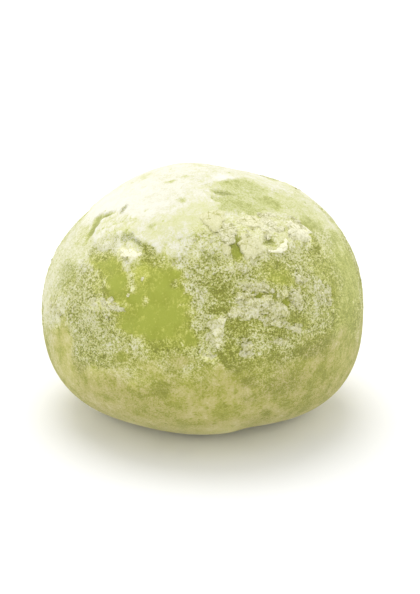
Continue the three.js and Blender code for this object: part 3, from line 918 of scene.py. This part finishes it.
def flake_points(flake, seed, tree):
    """The points of a flake: its middle, its rings from the inside out, its rim's foot and its underside.

    Each comes with the level that it looks like: knobs are whiter, a painted highlight, and the gaps between
    them darker, a painted shade.
    """
    directions, upper, inner = flake_spread(flake, seed)
    places = HEART + directions * cast(tree, directions)[:, None]
    knobs = lumpy(places, 1.3 * MM, 34) + 0.6 * lumpy(places, 0.6 * MM, 35)
    knobs = flake.rough * (knobs + 0.3 * pattern(places, 0.4 * MM, 36))
    swell = 0.06 * pattern(places, 1.2 * MM, 37)
    leaned = 1 - flake.lean * (0.5 + 0.5 * upper)
    height = MM * inner * (flake.height * leaned + swell + 0.8 * knobs)
    top = places + directions * height[:, None]
    foot = places[-FLAKE_SPOKES:] - directions[-FLAKE_SPOKES:] * RIM_DEPTH
    under = places[:1] - directions[:1] * RIM_DEPTH
    hidden = np.full(len(foot) + 1, flake.level)
    # The knobs lift the level: painted highlight on their tops and painted shade in the gaps between them
    return np.vstack([top, foot, under]), np.concatenate([flake.level + 0.5 * knobs, hidden])


def unit(vectors):
    return vectors / np.linalg.norm(vectors, axis=1)[:, None]


def make_flakes(tree, material):
    flakes = PLATES + HEAPED + FAR_FLAKES
    made = [flake_points(flake, seed, tree) for seed, flake in enumerate(flakes)]
    points, levels = map(np.array, zip(*made))
    mesh = joined_lumps("starch_flakes", flake_faces(), points)
    store_values(mesh, "level", levels.ravel())
    roughness = np.array([flake.rough for flake in flakes])
    store_values(mesh, "rough", np.repeat(roughness, points.shape[1]))
    add_piece(mesh, material)


def make_lip(tree, material):
    """The lip: an uneven roll of starch that lies on the crust in an arc and tapers at both ends."""
    along, up = along_and_up(*LIP_ABOUT, 0)
    turns = np.radians(np.linspace(*LIP_SPAN, LIP_STEPS))[:, None]
    outward = np.cos(turns) * along + np.sin(turns) * up
    directions = unit(MEAN_REACH / MM * towards(*LIP_ABOUT) + LIP_RADIUS * outward)
    spine = HEART + directions * (cast(tree, directions) + LIP_HEIGHT * MM)[:, None]
    around = np.linspace(0, 2 * math.pi, LIP_SIDES, endpoint=False)[None, :, None]
    across = LIP_HALF[0] * np.cos(around) * outward[:, None]
    rings = across + LIP_HALF[1] * np.sin(around) * directions[:, None]
    taper = 0.1 + 0.9 * np.sqrt(np.sin(np.linspace(0, math.pi, LIP_STEPS)).clip(0))
    uneven = 1 + 0.5 * pattern(spine, 0.9 * MM, 41) + 0.3 * pattern(spine, 0.4 * MM, 42)
    points = spine[:, None] + MM * (taper * uneven)[:, None, None] * rings
    side = np.arange(LIP_SIDES)
    start = LIP_SIDES * np.arange(LIP_STEPS - 1)[:, None]
    before, after = start + side, start + (side + 1) % LIP_SIDES
    faces = np.stack([before, before + LIP_SIDES, after + LIP_SIDES, after], axis=2)
    ends = [side[::-1].tolist(), (LIP_SIDES * (LIP_STEPS - 1) + side).tolist()]
    mesh = mesh_of("starch_lip", points, faces.reshape(-1, 4).tolist() + ends)
    store_values(mesh, "level", np.full(len(mesh.vertices), LIP_LEVEL))
    store_values(mesh, "rough", np.full(len(mesh.vertices), LIP_ROUGHNESS))
    add_piece(mesh, material)


def ball_shape(subdivisions):
    """The points and triangles of a ball of diameter 1: 20 triangles, then four times as many each time."""
    shape = bmesh.new()
    bmesh.ops.create_icosphere(shape, subdivisions=subdivisions, radius=0.5)
    points = np.array([vert.co[:] for vert in shape.verts])
    faces = np.array([[vert.index for vert in face.verts] for face in shape.faces])
    shape.free()
    return points, faces


def random_turns(random, count):
    """As many turning matrices, evenly spread over all ways that a thing can lie."""
    w, x, y, z = random.normal(size=(4, count))
    length = np.sqrt(w * w + x * x + y * y + z * z)
    w, x, y, z = w / length, x / length, y / length, z / length
    rows = [
        [1 - 2 * (y * y + z * z), 2 * (x * y - z * w), 2 * (x * z + y * w)],
        [2 * (x * y + z * w), 1 - 2 * (x * x + z * z), 2 * (y * z - x * w)],
        [2 * (x * z - y * w), 2 * (y * z + x * w), 1 - 2 * (x * x + y * y)],
    ]
    return np.moveaxis(np.array(rows), 2, 0)


def joined_lumps(name, faces, lumps):
    """One mesh of many lumps with the same triangles, from the points of each."""
    offsets = lumps.shape[1] * np.arange(len(lumps))
    return mesh_of(name, lumps, (faces[None] + offsets[:, None, None]).reshape(-1, 3).tolist())


def mesh_of(name, points, faces):
    mesh = bpy.data.meshes.new(name)
    mesh.from_pydata(points.reshape(-1, 3).tolist(), [], faces)
    mesh.update()
    return mesh


@dataclass
class Strewing:
    """Lumps strewn over the skin: how many, from which size to which in millimetres, and their form.

    fineness: how finely each lump is meshed. flatness: its thickness as a share of its width. sink: how far
    its middle is under the skin, as a share of its size.
    """

    name: str
    seed: int
    count: int
    sizes: tuple
    fineness: int
    flatness: float
    sink: float


CLUMPS = Strewing("starch_clumps", seed=8, count=110, sizes=(0.4, 0.8), fineness=3, flatness=0.6, sink=0.08)
CRUMBS = Strewing("starch_crumbs", seed=9, count=1500, sizes=(0.2, 0.5), fineness=2, flatness=0.7, sink=0.1)
GRAINS = Strewing("starch_grains", seed=3, count=5000, sizes=(0.1, 0.22), fineness=1, flatness=0.8, sink=0.1)

# The solid's own crumbs become clumps: the lowest one counted, how far apart two are, and their sizes
CLUMP_MIN_RISE = 0.2 * MM
CLUMP_APART = 0.7 * MM
CLUMP_SIZES = (0.7 * MM, 1.7 * MM)
RISE_TO_SIZE = 2.0


def crumb_places(skin):
    """The solid's own crumbs: the highest points of the skin that stand apart."""
    order = np.argsort(-skin.crumb_rise)
    order = order[skin.crumb_rise[order] > CLUMP_MIN_RISE]
    kept = []
    for index in order:
        near = [other for other in kept if np.linalg.norm(skin.directions[other] - skin.directions[index])
                < CLUMP_APART / MEAN_REACH]
        if not near:
            kept.append(index)
    return np.array(kept)


def uneven_lumps(random, shape, sizes):
    """A lump for each size, swollen and pinched all over like a crumb of pressed meal."""
    count = len(sizes)
    stretched = shape * random.uniform(0.7, 1.3, (count, 1, 3))
    nudged = (stretched + random.uniform(-50, 50, (count, 1, 3))).reshape(-1, 3)
    swollen = 1 + 0.6 * lumpy(nudged, 0.5, 0) + 0.35 * lumpy(nudged, 0.25, 1)
    lumps = stretched * swollen.reshape(count, -1, 1) * sizes[:, None, None]
    return np.einsum("nij,nvj->nvi", random_turns(random, count), lumps)


def strewn_sizes(random, strewing):
    """Sizes in metres, of which most are small."""
    small, large = strewing.sizes
    return MM * (small + (large - small) * random.uniform(size=strewing.count) ** 2)


def laid_lumps(skin, strewing, random, chosen, sizes):
    """One mesh of lumps that lie on the chosen points of the skin, pressed flat against it."""
    shape, faces = ball_shape(strewing.fineness)
    lumps = uneven_lumps(random, shape, sizes)
    outward = skin.directions[chosen]
    depth = np.einsum("nvj,nj->nv", lumps, outward)
    lumps = lumps - (1 - strewing.flatness) * depth[:, :, None] * outward[:, None, :]
    middles = skin.points()[chosen] - outward * (sizes * strewing.sink)[:, None]
    return joined_lumps(strewing.name, faces, lumps + middles[:, None, :])


def make_clumps(skin, coat, material):
    """The clumps: one for each crumb of the solid, and more of them heaped where the coat crumbles."""
    likely = smoothstep(0.75, 0.95, coat.crumble) * smoothstep(0.4, 0.8, coat.level)
    crumbs = crumb_places(skin)
    crumb_sizes = np.clip(skin.crumb_rise[crumbs] * RISE_TO_SIZE, *CLUMP_SIZES)
    strew(CLUMPS, skin, likely, material, crumbs, crumb_sizes)


def strew(strewing, skin, likely, material, given=(), given_sizes=()):
    """A piece of lumps: some on given points, and the rest at random, most of them where they are likely."""
    random = np.random.default_rng(strewing.seed)
    strewn = random.choice(len(likely), strewing.count, p=likely / likely.sum())
    chosen = np.concatenate([given, strewn]).astype(int)
    sizes = np.concatenate([given_sizes, strewn_sizes(random, strewing)])
    add_piece(laid_lumps(skin, strewing, random, chosen, sizes), material)


def crumbs_likely(coat):
    """Crumbs lie in and round the heaps, and some on the crusts."""
    return smoothstep(0.2, 1, coat.crumble) * smoothstep(0.3, 0.7, coat.level)


def grains_likely(coat):
    """Grains lie on the mealy places, and few where the coat is packed."""
    mealy = smoothstep(0.3, 0.9, coat.grain) * smoothstep(0.5, 0.9, coat.level)
    return mealy * (1 - 0.8 * coat.packed)


# Studio

CAMERA_LENS = 120
CAMERA_SENSOR = 36
CAMERA_ELEVATION = 21
CAMERA_DISTANCE = 320.8 * MM
CAMERA_AIM = Vector((1.2 * MM, 0, 18.6 * MM))
FLOOR_RADIUS = 4.0
FLOOR_GREY = 0.9
SUN_STRENGTH = 1.4
SUN_ANGLE = 45
SUN_FROM = (-165, 66)
SKY_STRENGTH = 1.0


def add_camera():
    data = bpy.data.cameras.new("camera")
    data.lens = CAMERA_LENS
    data.sensor_width = CAMERA_SENSOR
    camera = add_object("camera", data)
    back = Vector(towards(0, CAMERA_ELEVATION))
    camera.location = CAMERA_AIM + CAMERA_DISTANCE * back
    camera.rotation_euler = back.to_track_quat("Z", "Y").to_euler()
    bpy.context.scene.camera = camera


def add_floor():
    disc = bmesh.new()
    bmesh.ops.create_circle(disc, cap_ends=True, radius=FLOOR_RADIUS, segments=64)
    mesh = bpy.data.meshes.new("floor")
    disc.to_mesh(mesh)
    disc.free()
    mesh.materials.append(Nodes("floor").finished({"Base Color": (FLOOR_GREY,) * 3, "Roughness": 1}))
    floor = add_object("floor", mesh)


def add_lights():
    data = bpy.data.lights.new("sun", "SUN")
    data.energy = SUN_STRENGTH
    data.angle = math.radians(SUN_ANGLE)
    sun = add_object("sun", data)
    sun.rotation_euler = Vector(towards(*SUN_FROM)).to_track_quat("Z", "Y").to_euler()
    world = bpy.data.worlds.new("sky")
    world.use_nodes = True
    sky = world.node_tree.nodes["Background"].inputs
    sky["Color"].default_value = (1, 1, 1, 1)
    sky["Strength"].default_value = SKY_STRENGTH
    bpy.context.scene.world = world


skin = Skin(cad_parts[CAKE])
coat = Coat(skin)
bare_tree = tree_of(skin)
crust = crust_material()
make_flakes(bare_tree, crust)
make_lip(bare_tree, crust)
make_skin(skin, coat)
starch = starch_material()
make_clumps(skin, coat, starch)
strew(CRUMBS, skin, crumbs_likely(coat), starch)
strew(GRAINS, skin, grains_likely(coat), starch)
add_camera()
add_floor()
add_lights()
bpy.context.scene.view_settings.view_transform = "Standard"
